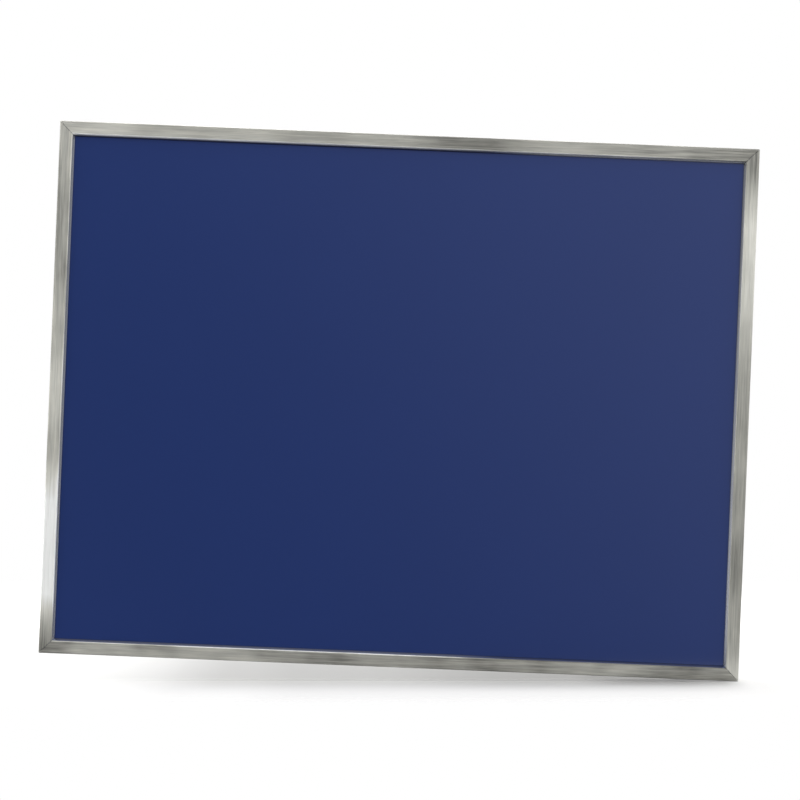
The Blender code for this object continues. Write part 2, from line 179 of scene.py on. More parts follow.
class FinishColours(PropertyGroup):
    """The colour of each finish."""

    frame_metal: colour("Frame metal", "Brushed, warm grey metal of the rails", (0.56, 0.565, 0.53))
    enamel: colour("Enamel", "Blue enamel of the magnetic face", (0.01, 0.0253, 0.1145))
    zinc: colour("Zinc", "Zinc plated steel of the hardware", (0.62, 0.62, 0.6))
    galvanised: colour("Galvanised steel", "Spangled zinc of the back sheet", (0.5, 0.51, 0.52))
    spring_steel: colour("Spring steel", "Rolled steel of the spring clips", (0.32, 0.33, 0.35))
    fibre: colour("Fibre board", "Pressed fibre of the core", (0.27, 0.16, 0.08))
    rubber: colour("Rubber", "Black rubber of the bumpers", (0.025, 0.025, 0.026))
    floor: colour("Floor", "Plain pale floor", (0.34, 0.337, 0.33))


class StageSettings(PropertyGroup):
    """The camera, the floor and the lights. Places in the picture are in its 800 by 800 pixels."""

    picture_width: amount("Picture width", "Width of the picture in pixels", 800)
    board_width_px: amount("Board width", "Pixels along the board's own top edge", 700.4)
    board_centre_x_px: amount("Board centre across", "Pixels from the left to the board's centre", 399.2)
    board_centre_y_px: amount("Board centre down", "Pixels from the top to the board's centre", 401.0)
    tilt: FloatProperty(
        name="Tilt",
        description="How far the board is turned clockwise in the picture",
        default=math.radians(2.35),
        subtype="ANGLE",
        unit="ROTATION",
    )
    lens: amount("Lens", "Focal length", 100, subtype="DISTANCE_CAMERA", unit="CAMERA")
    ambient: amount("Ambient", "Strength of the even light from behind", 0.55)
    backdrop: amount("Backdrop", "Brightness of the white backdrop, where 1 is white", 1.0)
    overhead: amount("Overhead softbox", "Brightness of the softbox above and behind", 9.5)
    key: amount("Key softbox", "Brightness of the softbox above and in front", 2.05)
    room_dim: amount("Dim side of the room", "Brightness at the lower left in front", 0.168)
    room_bright: amount("Bright side of the room", "Brightness at the upper right in front", 0.96)
    room_left: amount("Left panel", "Brightness of the light panel at the left", 3.05)


def settings(name):
    return getattr(bpy.context.scene, f"magnetic_board_{name}")


class Value:
    """An output socket. Arithmetic on it adds Math nodes to its tree."""

    def __init__(self, tree, socket):
        self.tree = tree
        self.socket = socket

    def __add__(self, other):
        return self.tree.math("ADD", self, other)

    def __sub__(self, other):
        return self.tree.math("SUBTRACT", self, other)

    def __rsub__(self, other):
        return self.tree.math("SUBTRACT", other, self)

    def __mul__(self, other):
        return self.tree.math("MULTIPLY", self, other)

    def __truediv__(self, other):
        return self.tree.math("DIVIDE", self, other)

    __radd__ = __add__
    __rmul__ = __mul__

    def __abs__(self):
        return self.tree.math("ABSOLUTE", self)

    def output(self, key):
        """Another output of the same node."""
        return Value(self.tree, find(self.socket.node.outputs, key))


def find(sockets, key):
    """The socket with this number, name or identifier among those in use."""
    if isinstance(key, int):
        return sockets[key]
    for socket in sockets:
        if socket.enabled and key in (socket.name, socket.identifier):
            return socket
    raise KeyError(f"no socket {key!r} among {[socket.name for socket in sockets]}")


class Tree:
    """A node tree being built."""

    def __init__(self, data):
        self.data = data
        data.nodes.clear()

    def add(self, kind, settings=None, inputs=None, output=0):
        """Adds a node, its settings first, and returns one of its outputs."""
        node = self.data.nodes.new(kind)
        for name, value in (settings or {}).items():
            setattr(node, name, value)
        for key, value in (inputs or {}).items():
            self.feed(find(node.inputs, key), value)
        return Value(self, find(node.outputs, output)) if node.outputs else None

    def feed(self, socket, value):
        if isinstance(value, Value):
            self.data.links.new(value.socket, socket)
        elif socket.type == "RGBA":
            socket.default_value = (*value[:3], 1)
        else:
            socket.default_value = value

    def math(self, operation, *values):
        return self.add("ShaderNodeMath", {"operation": operation}, dict(enumerate(values)))

    def vector(self, x, y, z):
        return self.add("ShaderNodeCombineXYZ", inputs={0: x, 1: y, 2: z})

    def ramp(self, value, start, end, low=0.0, high=1.0):
        """A smooth step from low to high as the value goes from start to end."""
        inputs = {"Value": value, "From Min": start, "From Max": end, "To Min": low, "To Max": high}
        return self.add("ShaderNodeMapRange", {"interpolation_type": "SMOOTHSTEP"}, inputs)

    def mix(self, share, first, second, blend="MIX"):
        settings = {"data_type": "RGBA", "blend_type": blend}
        return self.add("ShaderNodeMix", settings, {"Factor": share, "A": first, "B": second}, "Result")

    def place(self, offset=(0, 0, 0), turn=(0, 0, 0)):
        """The piece's own coordinates in metres, turned and moved."""
        own = self.add("ShaderNodeTexCoord", output="Object")
        return self.add("ShaderNodeMapping", inputs={"Vector": own, "Location": offset, "Rotation": turn})

    def noise(self, place, lengths, detail=2.0, roughness=0.5):
        """Noise from 0 to 1, about as long along each axis as lengths says, or the same along all."""
        scale = [1 / size for size in (lengths if isinstance(lengths, tuple) else [lengths] * 3)]
        stretched = self.add("ShaderNodeMapping", inputs={"Vector": place, "Scale": scale})
        inputs = {"Vector": stretched, "Scale": 1, "Detail": detail, "Roughness": roughness}
        return self.add("ShaderNodeTexNoise", inputs=inputs)

    def bump(self, height, distance, strength):
        inputs = {"Height": height, "Distance": distance, "Strength": strength}
        return self.add("ShaderNodeBump", inputs=inputs)

    def axes(self, vector):
        """The X, Y and Z of a vector."""
        first = self.add("ShaderNodeSeparateXYZ", inputs={0: vector})
        return [first, first.output(1), first.output(2)]


def new_material(name, surface):
    """A material whose surface is what a function adds to its tree."""
    material = bpy.data.materials.new(name)
    material.use_nodes = True
    tree = Tree(material.node_tree)
    tree.add("ShaderNodeOutputMaterial", inputs={"Surface": surface(tree)})
    return material


def patterned(name, varying, metallic=1.0, specular=0.5):
    """A Principled material. varying makes its patterns, and the rest stays on the shader's sockets."""

    def surface(tree):
        constants = {"Metallic": metallic, "Specular IOR Level": specular}
        return tree.add("ShaderNodeBsdfPrincipled", inputs={**constants, **varying(tree)})

    return new_material(name, surface)


def shade(tree, base, value):
    """A colour made lighter or darker by a value round 1."""
    grey = tree.add("ShaderNodeCombineColor", inputs={0: value, 1: value, 2: value})
    return tree.mix(1, base, grey, "MULTIPLY")


def tinted(base, red, green, blue):
    """A colour with each of its parts scaled."""
    return (base[0] * red, base[1] * green, base[2] * blue)


def swing(pattern, strength):
    """A pattern from 0 to 1, made to swing about 0."""
    return (pattern - 0.5) * strength


def brushing(tree, base, upright, look):
    """Metal brushed lengthwise, with soft zones, streaks and a fine grain that also stands in relief, and
    with painted reflections, a painted highlight and painted shade.
    """
    turn = (0, math.pi / 2 if upright else 0, 0)
    place = tree.place((look.grain_start, 0, 0), turn)
    zones = tree.noise(place, (0.07, 0.05, 0.05), 2.5)
    streaks = tree.noise(place, (0.035, 0.002, 0.002), 2.5, 0.6)
    lines = tree.noise(place, (0.06, 0.0008, 0.0008), 3, 0.6)
    grain = tree.noise(place, (0.007, 0.00022, 0.00022), 2, 0.6)
    x, y, z = tree.axes(tree.place())
    along, across = (z, x) if upright else (x, z)
    half_span = (BOARD_WIDTH if upright else BOARD_HEIGHT) / 2
    inward = half_span - abs(across)
    depth = y - FRONT_Y
    # Painted shade on the rounded outer rim
    rim = tree.ramp(inward, *RIM_SHADE_BAND, 1, 0) * tree.ramp(depth, *RIM_SHADE_DEPTH, 1, 0)
    # Painted highlight along the arris
    arris = tree.ramp(inward, *ARRIS_HIGHLIGHT_BAND) * tree.ramp(depth, *ARRIS_HIGHLIGHT_DEPTH, 1, 0)
    # The bevel, whose colour is painted light and shade
    bevel = tree.ramp(inward, *BEVEL_BAND)
    bevel *= tree.ramp(depth, look.bevel_start, look.bevel_start + BEVEL_FADE)
    bevel *= tree.ramp(depth, *BEVEL_REAR_DEPTH, 1, 0)
    # Painted light growing towards the sight edge, painted shade where the rail's gain for it is below 0
    sight_edge_light = tree.ramp(inward, *SIGHT_EDGE_LIGHT_BAND)
    # Each rail's tone is painted light and shade on the whole rail, with random soft zones over it
    level = look.tone + swing(zones, look.contrast)
    # Painted reflections: soft lighter and duller places along the rail
    for centre, reach, strength in look.painted_light_zones:
        level += tree.ramp(abs(along - centre), 0, reach, strength, 0)
    level = tree.math("MINIMUM", level, LIGHTEST_ZONE)
    level += swing(streaks, 0.6) + swing(lines, 0.7) + swing(grain, 0.2)
    # How strong the painted arris highlight and the bevel's painted light and shade are along the rail
    arris_highlight_level = tree.ramp(along, *look.turn, 1, look.arris_highlight_turn) * (1 + look.arris_highlight_gain)
    bevel_painted_level = tree.ramp(along, *look.turn, 1, look.bevel_painted_light_turn) * look.bevel_painted_light
    # Painted shade on the rim, and the painted highlight on the arris
    level = level * (1 - rim * look.rim_painted_shade) * (1 + arris * (arris_highlight_level - 1))
    level = tree.math("MINIMUM", level, LIGHTEST_FACE)
    warm = tree.mix(streaks, base, tinted(base, 1.03, 1, 0.95))
    # Where the metal is brightest it turns neutral, a painted reflection of the white room
    metal = tree.mix(tree.ramp(level, *REFLECTION_NEUTRAL_LEVELS), warm, tinted(base, 1, 1.003, 1.055))
    # The bevels' painted reflection of the blue enamel, bluer on the level rails where their painted light
    # is low
    tint = LIGHT_BEVEL_REFLECTION
    if not upright:
        reflection_tint_share = tree.ramp(bevel_painted_level, *BEVEL_REFLECTION_LEVELS)
        tint = tree.mix(reflection_tint_share, DARK_BEVEL_REFLECTION, LIGHT_BEVEL_REFLECTION)
    # The bevel's colour: a painted reflection tint times painted light and shade
    painted_bevel_colour = shade(tree, tint, bevel_painted_level * (1 + sight_edge_light * look.sight_edge_painted_light))
    rough = 0.31 + zones * 0.1 + swing(grain, 0.14)
    return {
        "Base Color": tree.mix(bevel, shade(tree, metal, level), painted_bevel_colour),
        "Roughness": rough * (1 - bevel * 0.6),
        "Normal": tree.bump(grain + streaks * 0.6, 0.00001, 0.6),
    }


def finish(name, **constants):
    """Makes a function that adds a finish's patterns to a tree into one that makes its material."""

    def wrap(patterns):
        return lambda base: patterned(name, lambda tree: patterns(tree, base, tree.place()), **constants)

    return wrap


@finish("blue_enamel", metallic=0.0)
def enamel_finish(tree, base, place):
    """Glass-smooth blue enamel with a faint orange peel and a hint of wiping marks."""
    cloud = tree.noise(place, 0.16)
    peel = tree.noise(place, 0.0035, 1, 0.4)
    wiped = tree.noise(tree.place(turn=(0, 0.5, 0)), (0.12, 0.004, 0.004))
    return {
        "Base Color": shade(tree, base, 0.96 + cloud * 0.08),
        "Roughness": 0.09 + wiped * 0.04,
        "Normal": tree.bump(peel, 0.00001, 0.25),
    }


@finish("zinc_plated_steel")
def zinc_finish(tree, base, place):
    """Bright zinc plating, slightly clouded, with fine pitting."""
    cloud = tree.noise(place, 0.006, 3, 0.6)
    pits = tree.noise(place, 0.0004, 2, 0.6)
    tint = tree.mix(cloud, tinted(base, 0.9, 0.95, 1), tinted(base, 1, 0.97, 0.86))
    return {
        "Base Color": shade(tree, tint, 0.78 + cloud * 0.34 + pits * 0.08),
        "Roughness": 0.22 + cloud * 0.2,
        "Normal": tree.bump(pits, 0.00002, 0.3),
    }


@finish("galvanised_back")
def galvanised_finish(tree, base, place):
    """Hot-dip zinc: flat spangles, each with its own brightness and feathering, over soft clouds."""
    bent = {0: tree.noise(place, 0.006, 3, 0.6), 1: (0.006,) * 3, 2: place}
    shift = tree.add("ShaderNodeVectorMath", {"operation": "MULTIPLY_ADD"}, bent)
    cells = tree.add("ShaderNodeTexVoronoi", {"feature": "F1"}, {"Vector": shift, "Scale": 120}, "Color")
    bright, dull, _ = tree.axes(cells)
    spun = {"Vector": place, "Angle": bright * math.tau}
    own = tree.add("ShaderNodeVectorRotate", {"rotation_type": "Y_AXIS"}, spun)
    feathers = tree.noise(own, (0.004, 0.004, 0.0006), 3, 0.6)
    clouds = tree.noise(place, 0.11, 3, 0.55)
    return {
        "Base Color": shade(tree, base, 0.6 + dull * 0.2 + feathers * 0.36 + clouds * 0.22),
        "Roughness": 0.32 + bright * 0.14 + feathers * 0.12,
        "Normal": tree.bump(feathers + dull * 0.4, 0.00002, 0.4),
    }


@finish("spring_steel")
def spring_finish(tree, base, place):
    """Cold-rolled spring steel with a bluish temper and rolling marks."""
    temper = tree.noise(place, 0.02)
    rolled = tree.noise(place, (0.012, 0.0004, 0.012), 2, 0.6)
    tint = tree.mix(temper, base, tinted(base, 0.8, 0.9, 1.1))
    return {
        "Base Color": shade(tree, tint, 0.85 + rolled * 0.3),
        "Roughness": 0.28 + rolled * 0.16,
    }


@finish("fibre_core", metallic=0.0)
def fibre_finish(tree, base, place):
    """Pressed brown fibre board."""
    chips = tree.noise(place, (0.003, 0.0006, 0.003), 4, 0.7)
    return {
        "Base Color": shade(tree, base, 0.6 + chips * 0.8),
        "Roughness": 0.8 + chips * 0.15,
        "Normal": tree.bump(chips, 0.00015, 0.5),
    }


@finish("bumper_rubber", metallic=0.0, specular=0.35)
def rubber_finish(tree, base, place):
    """Moulded black rubber with a light bloom."""
    bloom = tree.noise(place, 0.003, 3, 0.6)
    skin = tree.noise(place, 0.0003)
    return {
        "Base Color": tree.mix(tree.ramp(bloom, 0.5, 0.9, 0, 0.35), base, (0.09, 0.088, 0.085)),
        "Roughness": 0.62 + bloom * 0.25,
        "Normal": tree.bump(skin, 0.00003, 0.4),
    }


def zinc():
    """The zinc that all the hardware shares, made the first time that it is asked for."""
    return bpy.data.materials.get("zinc_plated_steel") or zinc_finish(settings("colours").zinc)


def new_object(name, data):
    """A new object in the scene."""
    obj = bpy.data.objects.new(name, data)
    bpy.context.scene.collection.objects.link(obj)
    return obj


def new_mesh(name, bm):
    """A new mesh from a finished bmesh."""
    mesh = bpy.data.meshes.new(name)
    bm.to_mesh(mesh)
    bm.free()
    return mesh


def apply_modifier(name, mesh, kind, values):
    """The plain mesh that a modifier makes of a mesh."""
    holder = new_object(name, mesh)
    modifier = holder.modifiers.new(kind, kind)
    for key, value in values.items():
        setattr(modifier, key, value)
    result = evaluated_mesh(holder)
    bpy.data.objects.remove(holder)
    return result


def evaluated_mesh(holder):
    evaluated = holder.evaluated_get(bpy.context.evaluated_depsgraph_get())
    return bpy.data.meshes.new_from_object(evaluated)


def grow(tree, mesh, values):
    """The plain mesh that a geometry tree makes of a mesh, its inputs set by their identifiers."""
    holder = new_object(tree.name, mesh)
    modifier = holder.modifiers.new(tree.name, "NODES")
    modifier.node_group = tree
    for item in tree.interface.items_tree:
        if item.in_out == "INPUT" and item.name in values:
            modifier[item.identifier] = values[item.name]
    result = evaluated_mesh(holder)
    holder.modifiers.remove(modifier)
    bpy.data.objects.remove(holder)
    return result


def soften_shading(name, mesh):
    """The mesh shaded smooth, its flat faces kept flat up to their rounded edges."""
    mesh.shade_smooth()
    mesh.set_sharp_from_angle(angle=SMOOTH_ANGLE)
    return apply_modifier(name, mesh, "WEIGHTED_NORMAL", {"keep_sharp": True, "weight": 100})


def add_piece(name, mesh, material, body, nodes):
    """A finished piece that rides on a body and stands for its CAD nodes."""
    mesh.name = name
    coat(mesh, material)
    piece = new_object(name, mesh)
    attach(piece, body)
    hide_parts(*nodes)


def coat(mesh, material):
    mesh.materials.clear()
    mesh.materials.append(material)


def dress(node, material):
    """Gives a CAD node its finish."""
    coat(frame["nodes"][node].data, material)


def mesh_from(name, points, edges=(), faces=()):
    mesh = bpy.data.meshes.new(name)
    mesh.from_pydata(points, edges, faces)
    mesh.validate()
    return mesh


def arc(centre, radius, start, end, steps):
    """Points on an arc, both ends included, from one angle to another."""
    angles = [start + (end - start) * i / steps for i in range(steps + 1)]
    return [Vector((centre[0] + radius * math.cos(a), centre[1] + radius * math.sin(a))) for a in angles]


def fillet(before, corner, after, radius, steps):
    """The arc that rounds a corner between two straight edges of an outline."""
    before, corner, after = map(Vector, (before, corner, after))
    back = (before - corner).normalized()
    ahead = (after - corner).normalized()
    half = back.angle(ahead) / 2
    reach = min(radius / math.tan(half), (before - corner).length / 2, (after - corner).length / 2)
    centre = corner + (back + ahead).normalized() * reach / math.cos(half)
    first = corner + back * reach - centre
    sweep = first.angle_signed(corner + ahead * reach - centre)
    return [centre + Matrix.Rotation(-sweep * i / steps, 2) @ first for i in range(steps + 1)]


def rounded(corners, steps):
    """The closed outline through corners, each a point and the radius that rounds it, if any."""
    outline = []
    for i, (corner, radius) in enumerate(corners):
        before, after = corners[i - 1][0], corners[(i + 1) % len(corners)][0]
        outline += fillet(before, corner, after, radius, steps) if radius else [corner]
    return outline


def rail_outline(rail):
    """The rail's section as (distance in from the outer edge, depth behind the front face)."""
    width, depth = rail.rail_width, rail.rail_depth
    slope = rail.bevel_width / rail.bevel_depth
    foot = width - rail.lip_thickness * math.hypot(rail.bevel_width, rail.bevel_depth) / rail.bevel_depth
    slot_outer = (width - rail.rear_slot_width) / 2
    slot_inner = (width + rail.rear_slot_width) / 2
    inner_wall = width - rail.wall
    web_rear = rail.web_front + rail.web_thickness
    rear_lip_front = depth - rail.rear_lip_thickness
    corners = [
        ((0, 0), rail.outer_edge_radius),
        ((width - rail.bevel_width, 0), rail.arris_radius),
        ((width, rail.bevel_depth), rail.sight_edge_radius),
        ((foot, rail.bevel_depth), 0),
        ((foot - slope * (rail.bevel_depth - rail.lip_thickness), rail.lip_thickness), 0),
        ((rail.wall, rail.lip_thickness), 0),
        ((rail.wall, rail.web_front), 0),
        ((width, rail.web_front), 0),
        ((width, depth), rail.rear_edge_radius),
        ((slot_inner, depth), 0),
        ((slot_inner, rear_lip_front), 0),
        ((inner_wall, rear_lip_front), 0),
        ((inner_wall, web_rear), 0),
        ((rail.wall, web_rear), 0),
        ((rail.wall, rear_lip_front), 0),
        ((slot_outer, rear_lip_front), 0),
        ((slot_outer, depth), 0),
        ((0, depth), rail.rear_edge_radius),
    ]
    return rounded(corners, rail.edge_steps)


def geometry_tree(name, inputs):
    """An empty geometry tree with named inputs, geometry first and material last, and their values."""
    inputs = {"Geometry": "Geometry", **inputs, "Material": "Material"}
    data = bpy.data.node_groups.new(name, "GeometryNodeTree")
    data.is_modifier = True
    for label, kind in inputs.items():
        data.interface.new_socket(label, in_out="INPUT", socket_type=f"NodeSocket{kind}")
    data.interface.new_socket("Geometry", in_out="OUTPUT", socket_type="NodeSocketGeometry")
    tree = Tree(data)
    start = tree.add("NodeGroupInput")
    return tree, {label: start.output(label) for label in inputs}


def end_tree(tree, given, geometry):
    """Closes a geometry tree with real geometry in the given material."""
    real = tree.add("GeometryNodeRealizeInstances", inputs={"Geometry": geometry})
    finished = {"Geometry": real, "Material": given["Material"]}
    finished = tree.add("GeometryNodeSetMaterial", inputs=finished)
    tree.add("NodeGroupOutput", inputs={"Geometry": finished})
    return tree.data


def rail_tree():
    """Draws a section at X = 0, which faces +X and whose Z starts at the outer edge, into a rail."""
    inputs = {"Length": "Float", "Seam Gap": "Float", "Turn": "Vector", "Place": "Vector"}
    tree, given = geometry_tree("Mitred rail", inputs)
    section = given["Geometry"]
    drawing = {"Mesh": section, "Offset Scale": 1, "Individual": False}
    drawn = tree.add("GeometryNodeExtrudeMesh", {"mode": "FACES"}, drawing)
    cap = tree.add("GeometryNodeFlipFaces", inputs={"Mesh": section})
    both = tree.add("GeometryNodeJoinGeometry", inputs={"Geometry": cap})
    tree.data.links.new(drawn.socket, both.socket.node.inputs[0])
    solid = tree.add("GeometryNodeMergeByDistance", inputs={"Geometry": both, "Distance": MERGE_DISTANCE})
    ends = tree.add("GeometryNodeInputMeshEdgeVertices", output="Position 1")
    first = tree.axes(ends)[0]
    second = tree.axes(ends.output("Position 2"))[0]
    on_cap = 1 - abs(first - second)
    weight = {"Geometry": solid, "Name": "bevel_weight_edge", "Value": on_cap}
    kinds = {"data_type": "FLOAT", "domain": "EDGE"}
    marked = tree.add("GeometryNodeStoreNamedAttribute", kinds, weight)
    x, y, z = tree.axes(tree.add("GeometryNodeInputPosition"))
    half = (given["Length"] - given["Seam Gap"] * math.sqrt(2)) * 0.5 - z
    mitred = tree.vector((x * 2 - 1) * half, y, z)
    rail = tree.add("GeometryNodeSetPosition", inputs={"Geometry": marked, "Position": mitred})
    placing = {"Geometry": rail, "Rotation": given["Turn"], "Translation": given["Place"]}
    placed = tree.add("GeometryNodeTransform", inputs=placing)
    return end_tree(tree, given, placed)


def wire_tree():
    """Bends round wire along the closed loop of edges that it gets."""
    tree, given = geometry_tree("Bent wire", {"Wire Radius": "Float", "Sides": "Int"})
    path = tree.add("GeometryNodeMeshToCurve", inputs={"Mesh": given["Geometry"]})
    round_section = {"Resolution": given["Sides"], "Radius": given["Wire Radius"]}
    circle = tree.add("GeometryNodeCurvePrimitiveCircle", {"mode": "RADIUS"}, round_section)
    wire = tree.add("GeometryNodeCurveToMesh", inputs={"Curve": path, "Profile Curve": circle})
    return end_tree(tree, given, wire)


def screw_tree():
    """A slotted set screw along Z from its tip at 0, with one thread wound up it."""
    sizes = ("Radius", "Length", "Pitch", "Thread Depth", "Chamfer", "Slot Width", "Slot Depth")
    inputs = {**dict.fromkeys(sizes, "Float"), "Sides": "Int", "Rings": "Int"}
    tree, given = geometry_tree("Threaded set screw", inputs)
    radius, height, pitch = given["Radius"], given["Length"], given["Pitch"]
    shape = {"Vertices": given["Sides"], "Side Segments": given["Rings"], "Radius": radius, "Depth": height}
    blank = tree.add("GeometryNodeMeshCylinder", {"fill_type": "NGON"}, shape)
    x, y, z = tree.axes(tree.add("GeometryNodeInputPosition"))
    turns = tree.math("ARCTAN2", y, x) / math.tau
    phase = tree.math("FRACT", z / pitch - turns)
    ridge = 1 - abs(phase * 2 - 1)
    threaded = radius - given["Thread Depth"] * (1 - ridge)
    from_end = height * 0.5 - abs(z)
    chamfered = radius - given["Thread Depth"] - given["Chamfer"] + from_end
    share = tree.math("MINIMUM", threaded, chamfered) / radius
    wound = tree.vector(x * share, y * share, z + height * 0.5)
    shank = tree.add("GeometryNodeSetPosition", inputs={"Geometry": blank, "Position": wound})
    slot_size = tree.vector(radius * 3, given["Slot Width"], given["Slot Depth"] * 2)
    slot = tree.add("GeometryNodeMeshCube", inputs={"Size": slot_size})
    at_head = tree.vector(0, 0, height)
    slot = tree.add("GeometryNodeTransform", inputs={"Geometry": slot, "Translation": at_head})
    exact = {"operation": "DIFFERENCE", "solver": "EXACT"}
    cut = tree.add("GeometryNodeMeshBoolean", exact, {"Mesh 1": shank, "Mesh 2": slot})
    return end_tree(tree, given, cut)


def copies_tree():
    """Sets copies of a piece that stands along Z on points, facing the rear and turned at random."""
    inputs = {"Piece": "Object", "Largest Turn": "Float", "Seed": "Int"}
    tree, given = geometry_tree("Copies at places", inputs)
    source = {"Object": given["Piece"], "As Instance": True}
    piece = tree.add("GeometryNodeObjectInfo", inputs=source, output="Geometry")
    drawn = {"Min": 0.0, "Max": given["Largest Turn"], "Seed": given["Seed"]}
    spin = tree.add("FunctionNodeRandomValue", {"data_type": "FLOAT"}, drawn, "Value")
    spun = tree.add("FunctionNodeEulerToRotation", inputs={"Euler": tree.vector(0, 0, spin)})
    rearward = tree.add("FunctionNodeEulerToRotation", inputs={"Euler": (-math.pi / 2, 0, 0)})
    both = {"Rotation": rearward, "Rotate By": spun}
    facing = tree.add("FunctionNodeRotateRotation", {"rotation_space": "LOCAL"}, both)
    placed = {"Points": given["Geometry"], "Instance": piece, "Rotation": facing}
    copies = tree.add("GeometryNodeInstanceOnPoints", inputs=placed)
    return end_tree(tree, given, copies)


def front_seat(node):
    """The middle of a node's front end."""
    low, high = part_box(node)
    return Vector(((low.x + high.x) / 2, low.y, (low.z + high.z) / 2))


def copies_at(nodes, unit, material, largest_turn, seed):
    """Copies of a mesh along Z, one at each node's front end, as one mesh."""
    holder = new_object("unit", unit)
    points = mesh_from("places", [front_seat(node) for node in nodes])
    values = {"Piece": holder, "Largest Turn": largest_turn, "Seed": seed, "Material": material}
    mesh = grow(copies_tree(), points, values)
    bpy.data.objects.remove(holder)
    return mesh


def softened_copy(node, width):
    """A CAD node's shape with its pressed edges rounded over."""
    bm = bmesh.new()
    bm.from_mesh(frame["nodes"][node].data)
    bmesh.ops.remove_doubles(bm, verts=bm.verts, dist=MERGE_DISTANCE)
    bmesh.ops.dissolve_limit(bm, angle_limit=FLAT_ANGLE, verts=bm.verts, edges=bm.edges)
    rounding = {"width": width, "segments": 2, "limit_method": "ANGLE", "angle_limit": SMOOTH_ANGLE}
    return soften_shading(node, apply_modifier(node, new_mesh(node, bm), "BEVEL", rounding))


class RailLook(NamedTuple):
    """How one rail's brushing differs from the next one's.

    Each rail's tone as a whole, the shade on its rim, the highlight on its arris, and the light and shade
    of its bevel and by its sight edge are painted light and shade. Its zones of painted reflection are soft
    lighter and duller places: where along the rail, how far they reach, how strong.
    Along turn, the painted light on the arris and the bevel changes to the arris's and the bevel's turn
    times as much.
    """

    grain_start: float
    tone: float
    contrast: float
    rim_painted_shade: float
    arris_highlight_gain: float
    bevel_start: float
    bevel_painted_light: float
    sight_edge_painted_light: float
    painted_light_zones: tuple
    turn: tuple = (0, 0.1)
    arris_highlight_turn: float = 1
    bevel_painted_light_turn: float = 1


class BoardOperator(Operator):
    """Shared by the steps that build the board."""

    bl_options = {"REGISTER", "UNDO"}

    def execute(self, context):
        self.build()
        return {"FINISHED"}


class MAGNETIC_BOARD_OT_frame_rails(BoardOperator):
    """Draw the four mitred rails with finely rounded edges, in brushed metal"""

    bl_idname = "magnetic_board.frame_rails"
    bl_label = "Frame Rails"

    # Each rail's brushing, with its painted reflections, painted highlight and painted shade
    looks = {
        "top": RailLook(
            grain_start=0.86, tone=0.88, contrast=0.75, rim_painted_shade=0.5, arris_highlight_gain=2.1,
            bevel_start=0.0011, bevel_painted_light=0.137, sight_edge_painted_light=-0.95,
            painted_light_zones=(
                (-0.3, 0.06, 0.08), (-0.12, 0.1, 0.24), (0.06, 0.1, -0.3), (0.17, 0.08, -0.2),
                (0.3, 0.13, -0.5),
            ),
            turn=(0.06, 0.16), arris_highlight_turn=0.7, bevel_painted_light_turn=6.3,
        ),
        "bottom": RailLook(
            grain_start=0.31, tone=0.635, contrast=1.7, rim_painted_shade=0.6, arris_highlight_gain=1.4,
            bevel_start=0.0003, bevel_painted_light=0.42, sight_edge_painted_light=-0.7,
            painted_light_zones=(
                (-0.25, 0.035, -0.15), (-0.15, 0.07, 0.24), (0.05, 0.05, -0.12), (0.22, 0.13, -0.15),
                (0.3, 0.07, -0.3),
            ),
            turn=(0.05, 0.11), arris_highlight_turn=0.2, bevel_painted_light_turn=0.43,
        ),
        "left": RailLook(
            grain_start=1.74, tone=0.81, contrast=1.2, rim_painted_shade=0.15, arris_highlight_gain=0.3,
            bevel_start=0.0003, bevel_painted_light=0.4, sight_edge_painted_light=0.25,
            painted_light_zones=((0.17, 0.07, -0.15), (0.012, 0.065, 0.3), (-0.145, 0.09, 1.6), (-0.24, 0.05, -0.5)),
        ),
        "right": RailLook(
            grain_start=2.43, tone=0.84, contrast=0.9, rim_painted_shade=0.3, arris_highlight_gain=-0.22,
            bevel_start=0.0005, bevel_painted_light=0.7, sight_edge_painted_light=-0.57,
            painted_light_zones=(
                (0.23, 0.05, -0.25), (0.14, 0.1, 0.26), (0.09, 0.04, 0.15), (0.03, 0.04, -0.28),
                (-0.24, 0.04, 0.25),
            ),
            turn=(-0.2, 0.24), arris_highlight_turn=1.12, bevel_painted_light_turn=0.5,
        ),
    }

    def build(self):
        rail = settings("rails")
        outline = rail_outline(rail)
        points = [(0, FRONT_Y + depth, inward) for inward, depth in reversed(outline)]
        section = mesh_from("rail_section", points, faces=[range(len(points))])
        rails = rail_tree()
        for side, turns in SIDE_TURNS.items():
            upright = turns % 2 == 1
            span = BOARD_WIDTH if upright else BOARD_HEIGHT
            inward = Matrix.Rotation(turns * math.pi / 2, 3, "Y") @ Vector((0, 0, 1))
            name = f"brushed_rail_{side}"
            pattern = (settings("colours").frame_metal, upright, self.looks[side])
            metal = patterned(name, lambda tree: brushing(tree, *pattern))
            values = {
                "Length": BOARD_HEIGHT if upright else BOARD_WIDTH,
                "Seam Gap": rail.seam_gap,
                "Turn": (0, turns * math.pi / 2, 0),
                "Place": BOARD_CENTRE - inward * span / 2,
                "Material": metal,
            }
            softening = {"width": rail.seam_softening, "segments": 2, "limit_method": "WEIGHT"}
            mesh = apply_modifier(name, grow(rails, section, values), "BEVEL", softening)
            mesh = soften_shading(name, mesh)
            add_piece(name, mesh, metal, "board", [f"frame_rail_{side}"])


class MAGNETIC_BOARD_OT_panel(BoardOperator):
    """Finish the enamelled face sheet, the fibre core and the galvanised back sheet"""

    bl_idname = "magnetic_board.panel"
    bl_label = "Panel"

    def build(self):
        colours = settings("colours")
        dress("magnetic_face_sheet", enamel_finish(colours.enamel))
        dress("core_board", fibre_finish(colours.fibre))
        dress("back_sheet", galvanised_finish(colours.galvanised))


